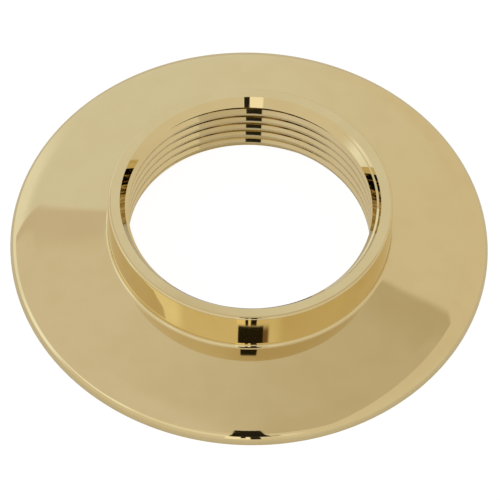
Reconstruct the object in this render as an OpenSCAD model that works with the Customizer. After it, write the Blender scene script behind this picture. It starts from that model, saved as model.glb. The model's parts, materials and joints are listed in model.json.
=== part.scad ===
// Faucet handle flange: one turned and polished brass piece.
// It lies on its seat plane, z = 0, with the bore's axis on the Z axis.
// A coned skirt curves over into a rounded rim and carries an upright collar.
// The bore is open from the mouth to the underside. Its wall stands at the
// crests of the fine internal thread, and the thread's grooves are left out.

/* [Skirt] */

// Outside diameter of the flange
flange_d = 60; // [54:0.5:80]
// Fall of the skirt from the collar outwards, in degrees
skirt_slope = 7.5; // [4:0.5:12]
// Radius of the brow, where the skirt curves over towards the rim
brow_round = 7; // [4:0.5:10]

/* [Rim] */

// Radius of the rim's rounding
rim_round = 1.25; // [0.9:0.05:1.8]
// Height of the rim rounding's centre above the seat plane
rim_rise = 0.3; // [0.1:0.05:0.6]
// Tilt of the surface where the brow runs into the rim, in degrees
rim_join = 30; // [20:1:40]

/* [Collar] */

// Outside diameter of the collar
collar_d = 35.4; // [34.4:0.1:42]
// Height of the collar's top land above the seat plane
collar_top = 9.4; // [8:0.1:16]
// Rounding of the collar's outer top edge
edge_round = 0.3; // [0.1:0.05:0.7]
// Fillet where the collar meets the skirt
root_fillet = 0.5; // [0.2:0.05:0.8]

/* [Bore] */

// Diameter of the bore at the crests of its thread
bore_d = 30.38; // [27:0.01:31]
// Width and depth of the chamfer at the bore's mouth
mouth_chamfer = 1.1; // [0.4:0.05:1.3]
// Width and depth of the chamfer at the bore's foot
foot_chamfer = 0.5; // [0.2:0.05:1]

/* [Underside] */

// Thickness of the skirt over the recess
skirt_wall = 1.5; // [1.2:0.05:1.8]
// Width of the flat ring that the rim stands on
seat_ring_w = 2.8; // [2.4:0.1:4.5]
// Width of the flat ring around the bore's foot
hub_ring_w = 3; // [2:0.1:4]
// Fillet in the recess's corners
recess_fillet = 0.4; // [0.1:0.05:0.5]

/* [Hidden] */

brass = [0.79, 0.63, 0.33];

flange_r = flange_d / 2;
collar_r = collar_d / 2;
bore_r = bore_d / 2;

// Centre of the rim's rounding
rim_cr = flange_r - rim_round;
rim_cz = rim_rise;

// Where the brow runs into the rim, on a radius that both roundings share
join_r = rim_cr + rim_round * sin(rim_join);
join_z = rim_cz + rim_round * cos(rim_join);

// Centre of the brow
brow_cr = join_r - brow_round * sin(rim_join);
brow_cz = join_z - brow_round * cos(rim_join);

// Where the straight skirt runs into the brow
roll_r = brow_cr + brow_round * sin(skirt_slope);
roll_z = brow_cz + brow_round * cos(skirt_slope);

// Where the radii through those two places cross the seat plane
roll_foot_r = brow_cr - brow_cz * tan(skirt_slope);
join_foot_r = rim_cr - rim_cz * tan(rim_join);

// Height of the skirt's upper face at a radius
function skirt_z(r) = roll_z + (roll_r - r) * tan(skirt_slope);

// Height of the recess's roof at a radius, parallel to the skirt
function roof_z(r) = skirt_z(r) - skirt_wall / cos(skirt_slope);

// A point of the section, from a centre out along a direction that is
// tilted by an angle from the vertical
function tilted(cr, cz, tilt, reach) =
  [cr + reach * sin(tilt), cz + reach * cos(tilt)];

hub_r = bore_r + hub_ring_w;
seat_r = flange_r - seat_ring_w;

// Facets around the axis, and around whole circles of the section
turn_facets = 120;
brow_facets = 96;
rim_facets = 48;
edge_facets = 20;

// The fillet that fills a corner between two lines, or is cut from it.
// Directions a and b leave the corner, with b counterclockwise from a.
module corner_fill(corner, a, b, radius) {
  half = (b - a) / 2;
  reach = radius / sin(half);
  run = radius / tan(half);
  mid = [
    corner[0] + reach * cos(a + half),
    corner[1] + reach * sin(a + half)
  ];
  difference() {
    polygon([
      corner,
      [corner[0] + run * cos(a), corner[1] + run * sin(a)],
      mid,
      [corner[0] + run * cos(b), corner[1] + run * sin(b)]
    ]);
    translate(mid)
      circle(r = radius, $fn = edge_facets);
  }
}

// The coned skirt, solid from the axis to the brow
module skirt_section() {
  polygon([
    [0, 0],
    [roll_foot_r, 0],
    [roll_r, roll_z],
    [0, skirt_z(0)]
  ]);
}

// The brow: a slice of its round, between the skirt and the rim
module brow_section() {
  intersection() {
    translate([brow_cr, brow_cz])
      circle(r = brow_round, $fn = brow_facets);
    polygon([
      [roll_foot_r, 0],
      [join_foot_r, 0],
      tilted(brow_cr, brow_cz, rim_join, brow_round + 1),
      tilted(brow_cr, brow_cz, skirt_slope, brow_round + 1)
    ]);
  }
}

// The rim: the part of its round outside the brow, cut off by the seat plane
module rim_section() {
  intersection() {
    translate([rim_cr, rim_cz])
      circle(r = rim_round, $fn = rim_facets);
    polygon([
      [join_foot_r, 0],
      [flange_r + 2, 0],
      [flange_r + 2, join_z + 2],
      tilted(rim_cr, rim_cz, rim_join, rim_round + 1)
    ]);
  }
}

// The upright collar, with its outer top edge rounded
module collar_section() {
  difference() {
    square([collar_r, collar_top]);
    corner_fill([collar_r, collar_top], 180, 270, edge_round);
  }
  corner_fill([collar_r, skirt_z(collar_r)], -skirt_slope, 90, root_fillet);
}

// The open bore with a chamfer at each end
module bore_section() {
  polygon([
    [-1, -1],
    [bore_r + foot_chamfer + 1, -1],
    [bore_r, foot_chamfer],
    [bore_r, collar_top - mouth_chamfer],
    [bore_r + mouth_chamfer + 1, collar_top + 1],
    [-1, collar_top + 1]
  ]);
}

// The shallow ring-shaped recess under the skirt
module recess_section() {
  difference() {
    polygon([
      [hub_r, -1],
      [seat_r, -1],
      [seat_r, roof_z(seat_r)],
      [hub_r, roof_z(hub_r)]
    ]);
    corner_fill([hub_r, roof_z(hub_r)], -90, -skirt_slope, recess_fillet);
    corner_fill([seat_r, roof_z(seat_r)], 180 - skirt_slope, 270, recess_fillet);
  }
}

// Half of the piece's section, to the right of the axis
module flange_section() {
  difference() {
    union() {
      skirt_section();
      brow_section();
      rim_section();
      collar_section();
    }
    bore_section();
    recess_section();
  }
}

module handle_flange() {
  color(brass)
    rotate_extrude($fn = turn_facets)
      flange_section();
}

handle_flange();
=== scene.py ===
"""Faucet handle flange: one turned and polished brass piece on a pale studio floor."""

import json
import math

import bmesh
import bpy
from mathutils import Matrix, Vector


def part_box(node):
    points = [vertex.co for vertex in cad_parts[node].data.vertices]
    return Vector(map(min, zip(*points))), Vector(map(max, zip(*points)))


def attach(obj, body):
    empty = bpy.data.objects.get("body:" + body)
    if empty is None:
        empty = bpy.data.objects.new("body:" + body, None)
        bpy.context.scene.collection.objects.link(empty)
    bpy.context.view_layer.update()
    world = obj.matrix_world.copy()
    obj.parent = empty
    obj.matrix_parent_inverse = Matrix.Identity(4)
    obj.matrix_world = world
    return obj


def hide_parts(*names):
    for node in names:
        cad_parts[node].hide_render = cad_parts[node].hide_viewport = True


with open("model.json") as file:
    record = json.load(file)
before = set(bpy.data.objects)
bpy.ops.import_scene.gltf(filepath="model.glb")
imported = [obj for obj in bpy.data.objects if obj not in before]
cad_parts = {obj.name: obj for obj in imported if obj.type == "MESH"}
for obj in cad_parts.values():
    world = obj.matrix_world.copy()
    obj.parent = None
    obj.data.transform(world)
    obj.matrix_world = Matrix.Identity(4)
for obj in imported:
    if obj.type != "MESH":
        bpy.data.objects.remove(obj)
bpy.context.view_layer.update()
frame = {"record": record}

MM = 0.001
NODE = "handle_flange"

# Sizes that the frame gives, in metres
box_low, box_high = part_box(NODE)
flange_r = (box_high.x - box_low.x) / 2
collar_top = box_high.z
thread_mount = next(m for m in frame["record"]["mounts"] if m["name"] == "valve_thread")
crest_r = thread_mount["dims"]["r_mm"] * MM

# The turned section, in metres and degrees. It follows the part's source, apart from
# the mouth's chamfer, which is a little deeper here.
skirt_slope = 7.5
brow_round = 7 * MM
rim_round = 1.25 * MM
rim_rise = 0.3 * MM
rim_join = 30
collar_r = 17.7 * MM
edge_round = 0.3 * MM
root_fillet = 0.5 * MM
mouth_chamfer_w = 1.05 * MM
mouth_chamfer_h = 1.4 * MM
foot_chamfer = 0.5 * MM
skirt_wall = 1.5 * MM
seat_ring_w = 2.8 * MM
hub_ring_w = 3 * MM
recess_fillet = 0.4 * MM

# Polishing leaves the collar's wall with a slight crown, in degrees from upright
wall_crown = 1.5

# The fine thread: 60 degree flanks, grooves cut out from the crests
pitch = 1.5 * MM
groove_depth = 0.81 * MM
groove_root_w = 0.19 * MM
groove_mouth_w = 1.125 * MM
groove_start = -0.04 * MM

# How far the thread's cutter reaches in from the crests
cutter_reach = 0.6 * MM

# Steps round the axis, and along each round stretch of the section
TURN_STEPS = 288
EDGE_STEPS = 8
CROWN_STEPS = 12
FILLET_STEPS = 10
BROW_STEPS = 16
RIM_STEPS = 20
RECESS_STEPS = 6

# Length of the short runs that keep a straight stretch flat up to its ends
SOFT_JOIN = 0.06 * MM

# Vertices closer than these are merged, in the section and after the thread is cut
WELD = 1e-7
CUT_WELD = 1e-6

# Edges that turn more than this stay sharp, in degrees
sharp_turn = 22


# Section

class Pen:
    """Draws a section in the XZ plane as a chain of edges, with lines and with spun arcs."""

    def __init__(self, r, z):
        self.bm = bmesh.new()
        self.tip = self.bm.verts.new((r, 0, z))

    def line(self, r, z, ease=0.0):
        """A straight run to (r, z). With ease, two more vertices keep its ends flat."""
        start = self.tip.co.copy()
        run = Vector((r, 0, z)) - start
        stops = [start + run]
        if ease:
            share = ease / run.length
            stops = [start + run * share, start + run * (1 - share)] + stops
        for stop in stops:
            grown = bmesh.ops.extrude_vert_indiv(self.bm, verts=[self.tip])
            self.tip = grown["verts"][0]
            self.tip.co = stop

    def arc(self, centre, turn, steps):
        """An arc round centre (r, z). A positive turn runs clockwise, from +Z to +X."""
        spun = bmesh.ops.spin(
            self.bm, geom=[self.tip], cent=(centre[0], 0, centre[1]),
            axis=(0, 1, 0), angle=math.radians(turn), steps=steps)
        self.tip = next(g for g in spun["geom_last"] if isinstance(g, bmesh.types.BMVert))


def tilted(centre, tilt, reach):
    """The point that lies reach away from centre, tilted from the vertical towards +X."""
    t = math.radians(tilt)
    return centre[0] + reach * math.sin(t), centre[1] + reach * math.cos(t)


def flange_section():
    """The closed section of the piece, drawn from the bore's foot up and round."""
    slope = math.tan(math.radians(skirt_slope))
    lean = math.cos(math.radians(skirt_slope))
    rim_c = (flange_r - rim_round, rim_rise)
    join = tilted(rim_c, rim_join, rim_round)
    brow_c = tilted(join, rim_join, -brow_round)
    roll = tilted(brow_c, skirt_slope, brow_round)
    rim_foot_turn = 90 + math.degrees(math.asin(rim_rise / rim_round))

    def skirt_z(r):
        return roll[1] + (roll[0] - r) * slope

    def roof_z(r):
        return skirt_z(r) - skirt_wall / lean

    hub_r = crest_r + hub_ring_w
    seat_r = flange_r - seat_ring_w
    half_hub = (90 - skirt_slope) / 2
    half_seat = (90 + skirt_slope) / 2

    pen = Pen(crest_r, foot_chamfer)
    pen.line(crest_r, collar_top - mouth_chamfer_h)
    pen.line(crest_r + mouth_chamfer_w, collar_top)
    pen.line(collar_r - edge_round, collar_top, SOFT_JOIN)
    pen.arc((collar_r - edge_round, collar_top - edge_round), 90, EDGE_STEPS)
    fillet_c = (collar_r + root_fillet,
                skirt_z(collar_r + root_fillet) + root_fillet / lean)
    half_wall = (collar_top - edge_round - fillet_c[1]) / 2
    crown_back = half_wall / math.tan(math.radians(wall_crown))
    pen.arc((collar_r - crown_back, fillet_c[1] + half_wall), 2 * wall_crown,
            CROWN_STEPS)
    pen.arc(fillet_c, skirt_slope - 90, FILLET_STEPS)
    pen.line(*roll, SOFT_JOIN)
    pen.arc(brow_c, rim_join - skirt_slope, BROW_STEPS)
    pen.arc(rim_c, rim_foot_turn - rim_join, RIM_STEPS)
    pen.line(seat_r, 0)
    run = recess_fillet / math.tan(math.radians(half_seat))
    pen.line(seat_r, roof_z(seat_r) - run)
    corner = (seat_r - recess_fillet, roof_z(seat_r) - run)
    pen.arc(corner, -(90 - skirt_slope), RECESS_STEPS)
    run = recess_fillet / math.tan(math.radians(half_hub))
    corner = (hub_r + recess_fillet, roof_z(hub_r) - run)
    pen.line(*tilted(corner, skirt_slope, recess_fillet), SOFT_JOIN)
    pen.arc(corner, -(90 + skirt_slope), RECESS_STEPS)
    pen.line(hub_r, 0)
    pen.line(crest_r + foot_chamfer, 0)
    pen.line(crest_r, foot_chamfer)
    bmesh.ops.remove_doubles(pen.bm, verts=pen.bm.verts[:], dist=WELD)
    return pen.bm


def turn_full(bm, steps):
    """Spins a section once round the Z axis into a closed skin."""
    bmesh.ops.spin(bm, geom=bm.verts[:] + bm.edges[:], cent=(0, 0, 0), axis=(0, 0, 1),
                   angle=2 * math.pi, steps=steps, use_merge=True)
    bmesh.ops.remove_doubles(bm, verts=bm.verts[:], dist=WELD)
    bmesh.ops.recalc_face_normals(bm, faces=bm.faces[:])


def thread_cutter():
    """A closed helical ridge with the groove's section, longer than the bore."""
    flare = (groove_mouth_w - groove_root_w) / 2 / groove_depth
    mouth_half = groove_mouth_w / 2 + flare * cutter_reach
    root_half = groove_root_w / 2
    bottom = groove_start - pitch
    turns = math.ceil((collar_top - 2 * bottom) / pitch)
    bm = bmesh.new()
    corners = [(crest_r - cutter_reach, -mouth_half), (crest_r + groove_depth, -root_half),
               (crest_r + groove_depth, root_half), (crest_r - cutter_reach, mouth_half)]
    ring = [bm.verts.new((r, 0, z + bottom)) for r, z in corners]
    face = bm.faces.new(ring)
    bmesh.ops.spin(bm, geom=[face], cent=(0, 0, 0), axis=(0, 0, 1),
                   angle=2 * math.pi * turns, steps=TURN_STEPS * turns,
                   dvec=(0, 0, pitch / TURN_STEPS), use_duplicate=False)
    bmesh.ops.recalc_face_normals(bm, faces=bm.faces[:])
    return bm


def mesh_object(name, bm):
    mesh = bpy.data.meshes.new(name)
    bm.to_mesh(mesh)
    bm.free()
    obj = bpy.data.objects.new(name, mesh)
    bpy.context.scene.collection.objects.link(obj)
    return obj


def cut(obj, cutter):
    """Takes the cutter's shape out of obj and removes the cutter."""
    modifier = obj.modifiers.new("cut", "BOOLEAN")
    modifier.operation = "DIFFERENCE"
    modifier.solver = "EXACT"
    modifier.object = cutter
    depsgraph = bpy.context.evaluated_depsgraph_get()
    carved = bpy.data.meshes.new_from_object(obj.evaluated_get(depsgraph))
    obj.modifiers.clear()
    obj.data = carved
    bpy.data.objects.remove(cutter)


body = flange_section()
turn_full(body, TURN_STEPS)
flange = mesh_object("flange_turned", body)
cut(flange, mesh_object("thread_cutter", thread_cutter()))

carved = bmesh.new()
carved.from_mesh(flange.data)
bmesh.ops.remove_doubles(carved, verts=carved.verts[:], dist=CUT_WELD)
for face in carved.faces:
    face.smooth = True
for edge in carved.edges:
    turn = edge.calc_face_angle(0)
    edge.smooth = turn <= math.radians(sharp_turn)
carved.to_mesh(flange.data)
carved.free()


# Nodes

class Wires:
    """Short calls that add nodes to one tree and link them."""

    def __init__(self, tree):
        self.tree = tree
        self.made = 0

    def add(self, kind, inputs=(), **settings):
        node = self.tree.nodes.new(kind)
        node.location = (self.made % 10 * 200, self.made // 10 * -260)
        self.made += 1
        for key, value in settings.items():
            setattr(node, key, value)
        for socket, value in dict(inputs).items():
            if isinstance(value, bpy.types.NodeSocket):
                self.tree.links.new(value, node.inputs[socket])
            else:
                node.inputs[socket].default_value = value
        return node

    def math(self, operation, *values):
        return self.add("ShaderNodeMath", enumerate(values), operation=operation).outputs[0]

    def step(self, value, low, high, to_low=0.0, to_high=1.0):
        """A smooth rise from to_low to to_high, while value goes from low to high."""
        return self.add("ShaderNodeMapRange", {
            "Value": value, "From Min": low, "From Max": high,
            "To Min": to_low, "To Max": to_high,
        }, interpolation_type="SMOOTHSTEP").outputs["Result"]

    def blend(self, mask, below, above):
        """One colour over another. Sockets 6 and 7 are the Mix node's two colours."""
        below, above = ((*c, 1) if isinstance(c, tuple) else c for c in (below, above))
        return self.add("ShaderNodeMix", {0: mask, 6: below, 7: above},
                        data_type="RGBA").outputs[2]

    def noise(self, vector, scale, detail=2.0):
        return self.add("ShaderNodeTexNoise", {
            "Vector": vector, "Scale": scale, "Detail": detail}).outputs["Fac"]

    def placed(self, group, vector, values):
        """A shader group's outputs, with its place on the piece and its own values."""
        node = self.add("ShaderNodeGroup", node_tree=group)
        self.tree.links.new(vector, node.inputs["Vector"])
        for socket, value in values.items():
            node.inputs[socket].default_value = value
        return node.outputs

    def polar(self, vector):
        """Radius, height and angle of a point, from its place on the piece."""
        split = self.add("ShaderNodeSeparateXYZ", {0: vector})
        x, y, z = split.outputs
        square = self.math("ADD", self.math("MULTIPLY", x, x), self.math("MULTIPLY", y, y))
        return self.math("SQRT", square), z, self.math("ARCTAN2", y, x)


def node_group(name, inputs, outputs):
    """An empty shader group with named sockets, its own wires and its two ends."""
    group = bpy.data.node_groups.new(name, "ShaderNodeTree")
    for socket, kind, value in inputs:
        made = group.interface.new_socket(socket, in_out="INPUT", socket_type=kind)
        if value is not None:
            made.default_value = value
    for socket in outputs:
        group.interface.new_socket(socket, in_out="OUTPUT", socket_type="NodeSocketFloat")
    wires = Wires(group)
    return group, wires, wires.add("NodeGroupInput").outputs, wires.add("NodeGroupOutput")


def ring_marks_group():
    """Fine marks that run round the axis, as a turning tool or a buffing wheel leaves."""
    group, wires, given, out = node_group("ring_marks", [
        ("Vector", "NodeSocketVector", None),
        ("Marks per metre", "NodeSocketFloat", 4000.0),
        ("Drift", "NodeSocketFloat", 0.002),
    ], ["Height", "Mask"])
    r, z, angle = wires.polar(given["Vector"])
    place = wires.add("ShaderNodeCombineXYZ", {
        0: r, 1: z, 2: wires.math("MULTIPLY", angle, given["Drift"])}).outputs[0]
    marks = wires.noise(place, given["Marks per metre"], 3.0)
    wires.tree.links.new(marks, out.inputs["Height"])
    wires.tree.links.new(wires.step(marks, 0.5, 0.72), out.inputs["Mask"])
    return group


def soft_patches_group():
    """Wide soft patches, for polishing waves and faint tarnish."""
    group, wires, given, out = node_group("soft_patches", [
        ("Vector", "NodeSocketVector", None),
        ("Patches per metre", "NodeSocketFloat", 90.0),
    ], ["Height", "Mask"])
    patches = wires.noise(given["Vector"], given["Patches per metre"], 2.0)
    wires.tree.links.new(patches, out.inputs["Height"])
    wires.tree.links.new(wires.step(patches, 0.4, 0.65), out.inputs["Mask"])
    return group


# Materials

clean_brass = (0.80, 0.668, 0.378)
tarnished_brass = (0.785, 0.65, 0.362)
smooth_roughness = 0.025
buffed_roughness = 0.05
waves_per_metre = 110
wave_depth = 0.010 * MM
tarnish_per_metre = 260
buffing_per_metre = 2600
buffing_drift = 0.004
buffing_depth = 0.00006 * MM

RING_MARKS = ring_marks_group()
SOFT_PATCHES = soft_patches_group()


def polished_brass():
    """Mirror-polished brass, with a faint wave, a little tarnish and buffing marks."""
    brass = bpy.data.materials.new("brass_polished")
    brass.use_nodes = True
    wires = Wires(brass.node_tree)
    shader = brass.node_tree.nodes["Principled BSDF"]
    place = wires.add("ShaderNodeTexCoord").outputs["Object"]
    waves = wires.placed(SOFT_PATCHES, place, {"Patches per metre": waves_per_metre})
    tarnish = wires.placed(SOFT_PATCHES, place, {"Patches per metre": tarnish_per_metre})
    buffing = wires.placed(RING_MARKS, place, {
        "Marks per metre": buffing_per_metre, "Drift": buffing_drift})
    colour = wires.blend(tarnish["Mask"], clean_brass, tarnished_brass)
    roughness = wires.step(buffing["Mask"], 0, 1, smooth_roughness, buffed_roughness)
    wave_relief = wires.add("ShaderNodeBump", {
        "Height": waves["Height"], "Distance": wave_depth, "Strength": 1.0})
    relief = wires.add("ShaderNodeBump", {
        "Height": buffing["Height"], "Distance": buffing_depth, "Strength": 1.0,
        "Normal": wave_relief.outputs["Normal"]})
    shader.inputs["Metallic"].default_value = 1
    wires.tree.links.new(colour, shader.inputs["Base Color"])
    wires.tree.links.new(roughness, shader.inputs["Roughness"])
    wires.tree.links.new(relief.outputs["Normal"], shader.inputs["Normal"])
    return brass


flange.data.materials.clear()
flange.data.materials.append(polished_brass())

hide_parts(NODE)
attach(flange, "root")


# Floor

floor_radius = 3.0
floor_drop = 0.02 * MM


def floor_paper():
    """White paper. What the camera and the brass see of it is lifted towards white."""
    paper = bpy.data.materials.new("floor_paper")
    paper.use_nodes = True
    paper.node_tree.nodes.clear()
    wires = Wires(paper.node_tree)
    seen = wires.add("ShaderNodeLightPath").outputs
    share = wires.math("ADD", wires.math("MULTIPLY", seen["Is Camera Ray"], 0.8),
                       wires.math("MULTIPLY", seen["Is Glossy Ray"], 0.15))
    diffuse = wires.add("ShaderNodeBsdfDiffuse", {"Color": (0.8, 0.8, 0.8, 1)})
    glow = wires.add("ShaderNodeEmission", {"Color": (1, 1, 1, 1), "Strength": 1.17})
    mixed = wires.add("ShaderNodeMixShader", {
        0: share, 1: diffuse.outputs[0], 2: glow.outputs[0]})
    wires.add("ShaderNodeOutputMaterial", {"Surface": mixed.outputs[0]})
    return paper


floor_bm = bmesh.new()
bmesh.ops.create_circle(floor_bm, cap_ends=True, segments=64, radius=floor_radius,
                        matrix=Matrix.Translation((0, 0, -floor_drop)))
floor = mesh_object("studio_floor", floor_bm)
floor.data.materials.append(floor_paper())


# Studio

black = (0.02, 0.018, 0.012)

# Patches of the room: azimuths, zenith angles and softness in degrees, and colour.
# Azimuth is counted from the camera's side (-Y) towards +X, zenith from straight up.
SOFT_PANELS = (
    ((-150, -78), (55, 92), 9, (0.92, 0.95, 0.97)),
    ((-104, -82), (58, 84), 6, (1.05, 1.10, 1.16)),
    ((-84, 24), (40, 60), 5, (0.90, 0.89, 0.86)),
    ((-86, -50), (44, 58), 5, (1.10, 1.15, 1.20)),
)
CAMERA_STAND = (
    ((-7, 7.5), (51, 78), 0.7, (1.12, 1.08, 0.98)),
    ((-0.9, 1.2), (51, 66), 0.25, black),
    ((2.95, 7.2), (51, 78), 0.4, black),
    ((10.5, 16.0), (44, 50.5), 1.2, (0.22, 0.15, 0.09)),
    ((-6.0, 12.0), (18.5, 50.9), 0.4, black),
)

# Corners of the ceiling on a plane one unit up, and a point inside it
ceiling_corners = [(-1.75, 1.36), (0.68, 0.42), (0.46, -0.47), (-1.0, -0.47),
                   (-1.42, -0.085)]
ceiling_inside = Vector((-0.3, 0.1))


def studio_world():
    """A pale room: a warm ceiling, soft panels at the left and the camera's dark stand."""
    world = bpy.data.worlds.new("studio")
    world.use_nodes = True
    world.node_tree.nodes.clear()
    wires = Wires(world.node_tree)
    generated = wires.add("ShaderNodeTexCoord").outputs["Generated"]
    way = wires.add("ShaderNodeVectorMath", {0: generated}, operation="NORMALIZE").outputs[0]
    x, y, z = wires.add("ShaderNodeSeparateXYZ", {0: way}).outputs
    azimuth = wires.math("DEGREES", wires.math("ARCTAN2", x, wires.math("MULTIPLY", y, -1.0)))
    zenith = wires.math("DEGREES", wires.math("ARCCOSINE", z))

    def patch(az, zen, soft):
        """Mask of a patch between two azimuths and two zenith angles."""
        mask = 1.0
        for value, (low, high) in ((azimuth, az), (zenith, zen)):
            rise = wires.step(value, low - soft, low + soft)
            fall = wires.step(value, high - soft, high + soft, 1.0, 0.0)
            mask = wires.math("MULTIPLY", mask, wires.math("MULTIPLY", rise, fall))
        return mask

    tone = wires.blend(wires.step(x, -0.1, 0.35), (0.77, 0.775, 0.76), (0.74, 0.68, 0.575))
    near = wires.step(y, 0.1, -0.3)
    tone = wires.blend(near, tone, (0.76, 0.715, 0.62))

    # Soft panels at the left of the camera
    for az, zen, soft, colour in SOFT_PANELS:
        tone = wires.blend(patch(az, zen, soft), tone, colour)

    # The ceiling is flat and has straight edges, so it is drawn on its own plane
    height = wires.math("MAXIMUM", z, 0.05)
    across = wires.math("DIVIDE", x, height)
    along = wires.math("DIVIDE", y, height)
    ceiling = wires.step(z, 0.1, 0.2)
    border = None
    for start, end in zip(ceiling_corners, ceiling_corners[1:] + ceiling_corners[:1]):
        run = Vector(end) - Vector(start)
        normal = Vector((-run.y, run.x)).normalized()
        if normal.dot(ceiling_inside - Vector(start)) < 0:
            normal = -normal
        reach = wires.math("ADD", wires.math("MULTIPLY", across, normal.x),
                           wires.math("MULTIPLY", along, normal.y))
        reach = wires.math("SUBTRACT", reach, normal.dot(Vector(start)))
        ceiling = wires.math("MULTIPLY", ceiling, wires.step(reach, -0.012, 0.012))
        if border is None:
            border = wires.step(reach, 0.06, 0.13, 1.0, 0.0)
    warm = wires.step(across, -0.3, 0.22)
    ceiling_tone = wires.blend(warm, (0.725, 0.685, 0.635), (0.61, 0.55, 0.455))
    border_tone = wires.blend(warm, (0.675, 0.615, 0.56), (0.56, 0.50, 0.38))
    ceiling_tone = wires.blend(border, ceiling_tone, border_tone)
    tone = wires.blend(ceiling, tone, ceiling_tone)

    # The camera's dark body, and below it the two legs of its stand with light between
    for az, zen, soft, colour in CAMERA_STAND:
        tone = wires.blend(patch(az, zen, soft), tone, colour)

    seen = wires.add("ShaderNodeLightPath").outputs["Is Camera Ray"]
    shown = wires.blend(seen, tone, (1.0, 1.0, 1.0))
    background = wires.add("ShaderNodeBackground", {"Color": shown})
    wires.add("ShaderNodeOutputWorld", {"Surface": background.outputs[0]})
    return world


bpy.context.scene.world = studio_world()


# Camera

# Fitted to the object's edges. Lengths are in metres, angles in degrees, and origin_px
# is where the frame's origin shows in the picture.
camera_distance = 0.6
camera_elevation = 54.698
camera_roll = 1.852
focal_px = 4772.5
frame_px = 500
origin_px = (249.14, 245.07)

camera_data = bpy.data.cameras.new("camera")
camera_data.sensor_width = 36
camera_data.lens = focal_px / frame_px * camera_data.sensor_width
camera_data.clip_start = 0.01
camera = bpy.data.objects.new("camera", camera_data)
bpy.context.scene.collection.objects.link(camera)
aim = (Matrix.Rotation(math.radians(90 - camera_elevation), 4, "X")
       @ Matrix.Rotation(math.radians(camera_roll), 4, "Z"))
px_size = camera_distance / focal_px
offset = Vector(((frame_px / 2 - origin_px[0]) * px_size,
                 (origin_px[1] - frame_px / 2) * px_size, camera_distance))
camera.matrix_world = Matrix.Translation(aim @ offset) @ aim
bpy.context.scene.camera = camera
bpy.context.scene.view_settings.view_transform = "Standard"
